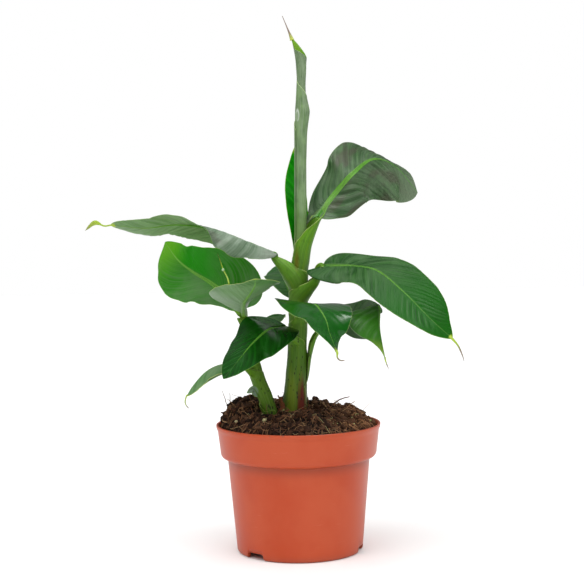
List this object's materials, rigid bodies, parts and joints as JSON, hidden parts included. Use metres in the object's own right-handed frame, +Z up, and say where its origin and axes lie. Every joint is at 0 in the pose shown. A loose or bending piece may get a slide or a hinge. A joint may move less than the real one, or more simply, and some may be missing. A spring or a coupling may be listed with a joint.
{
  "type": "potted banana plant",
  "caption": "Young banana plant with a pseudostem, a sucker, a rolled spear leaf and arching leaves, in a round terracotta-coloured plastic nursery pot.",
  "frame": {"origin": "centre of the pot's flat underside", "axes": "+Z up along the pot's axis, -Y towards the side that is seen from the front, +X to its right"},
  "size_m": [0.266, 0.2101, 0.3903],
  "materials": {
    "pot": "terracotta-coloured satin plastic",
    "soil": "dark moist peat with coir fibres",
    "stem": "olive green sheaths with reddish brown patches",
    "spear": "grey-green rolled young leaf",
    "stalk": "pale green petiole",
    "leaf": "green blade, paler and matte below",
    "leaf_dark": "dark glossy green blade",
    "leaf_bright": "bright thin green blade",
    "leaf_grey": "grey-green blade with a purple-brown sheen"
  },
  "bodies": {
    "root": {"pot": "pot", "soil": "soil", "main_stem": "stem", "sucker_stem": "stem", "spear_leaf": "spear", "upper_right_leaf": "leaf_grey", "upper_right_stalk": "stalk", "upper_left_leaf": "leaf_grey", "upper_left_stalk": "stalk", "right_leaf": "leaf", "right_stalk": "stalk", "left_leaf": "leaf_bright", "left_stalk": "stalk", "small_left_leaf": "leaf_grey", "small_left_stalk": "stalk", "back_leaf": "leaf_grey", "back_stalk": "stalk", "front_leaf": "leaf_dark", "front_stalk": "stalk", "front_left_leaf": "leaf_dark", "front_left_stalk": "stalk", "inner_leaf": "leaf", "inner_stalk": "stalk", "low_left_leaf": "leaf", "low_left_stalk": "stalk", "low_right_leaf": "leaf", "low_right_stalk": "stalk", "upright_leaf": "leaf_bright", "scale_leaf": "leaf"}
  },
  "joints": []
}
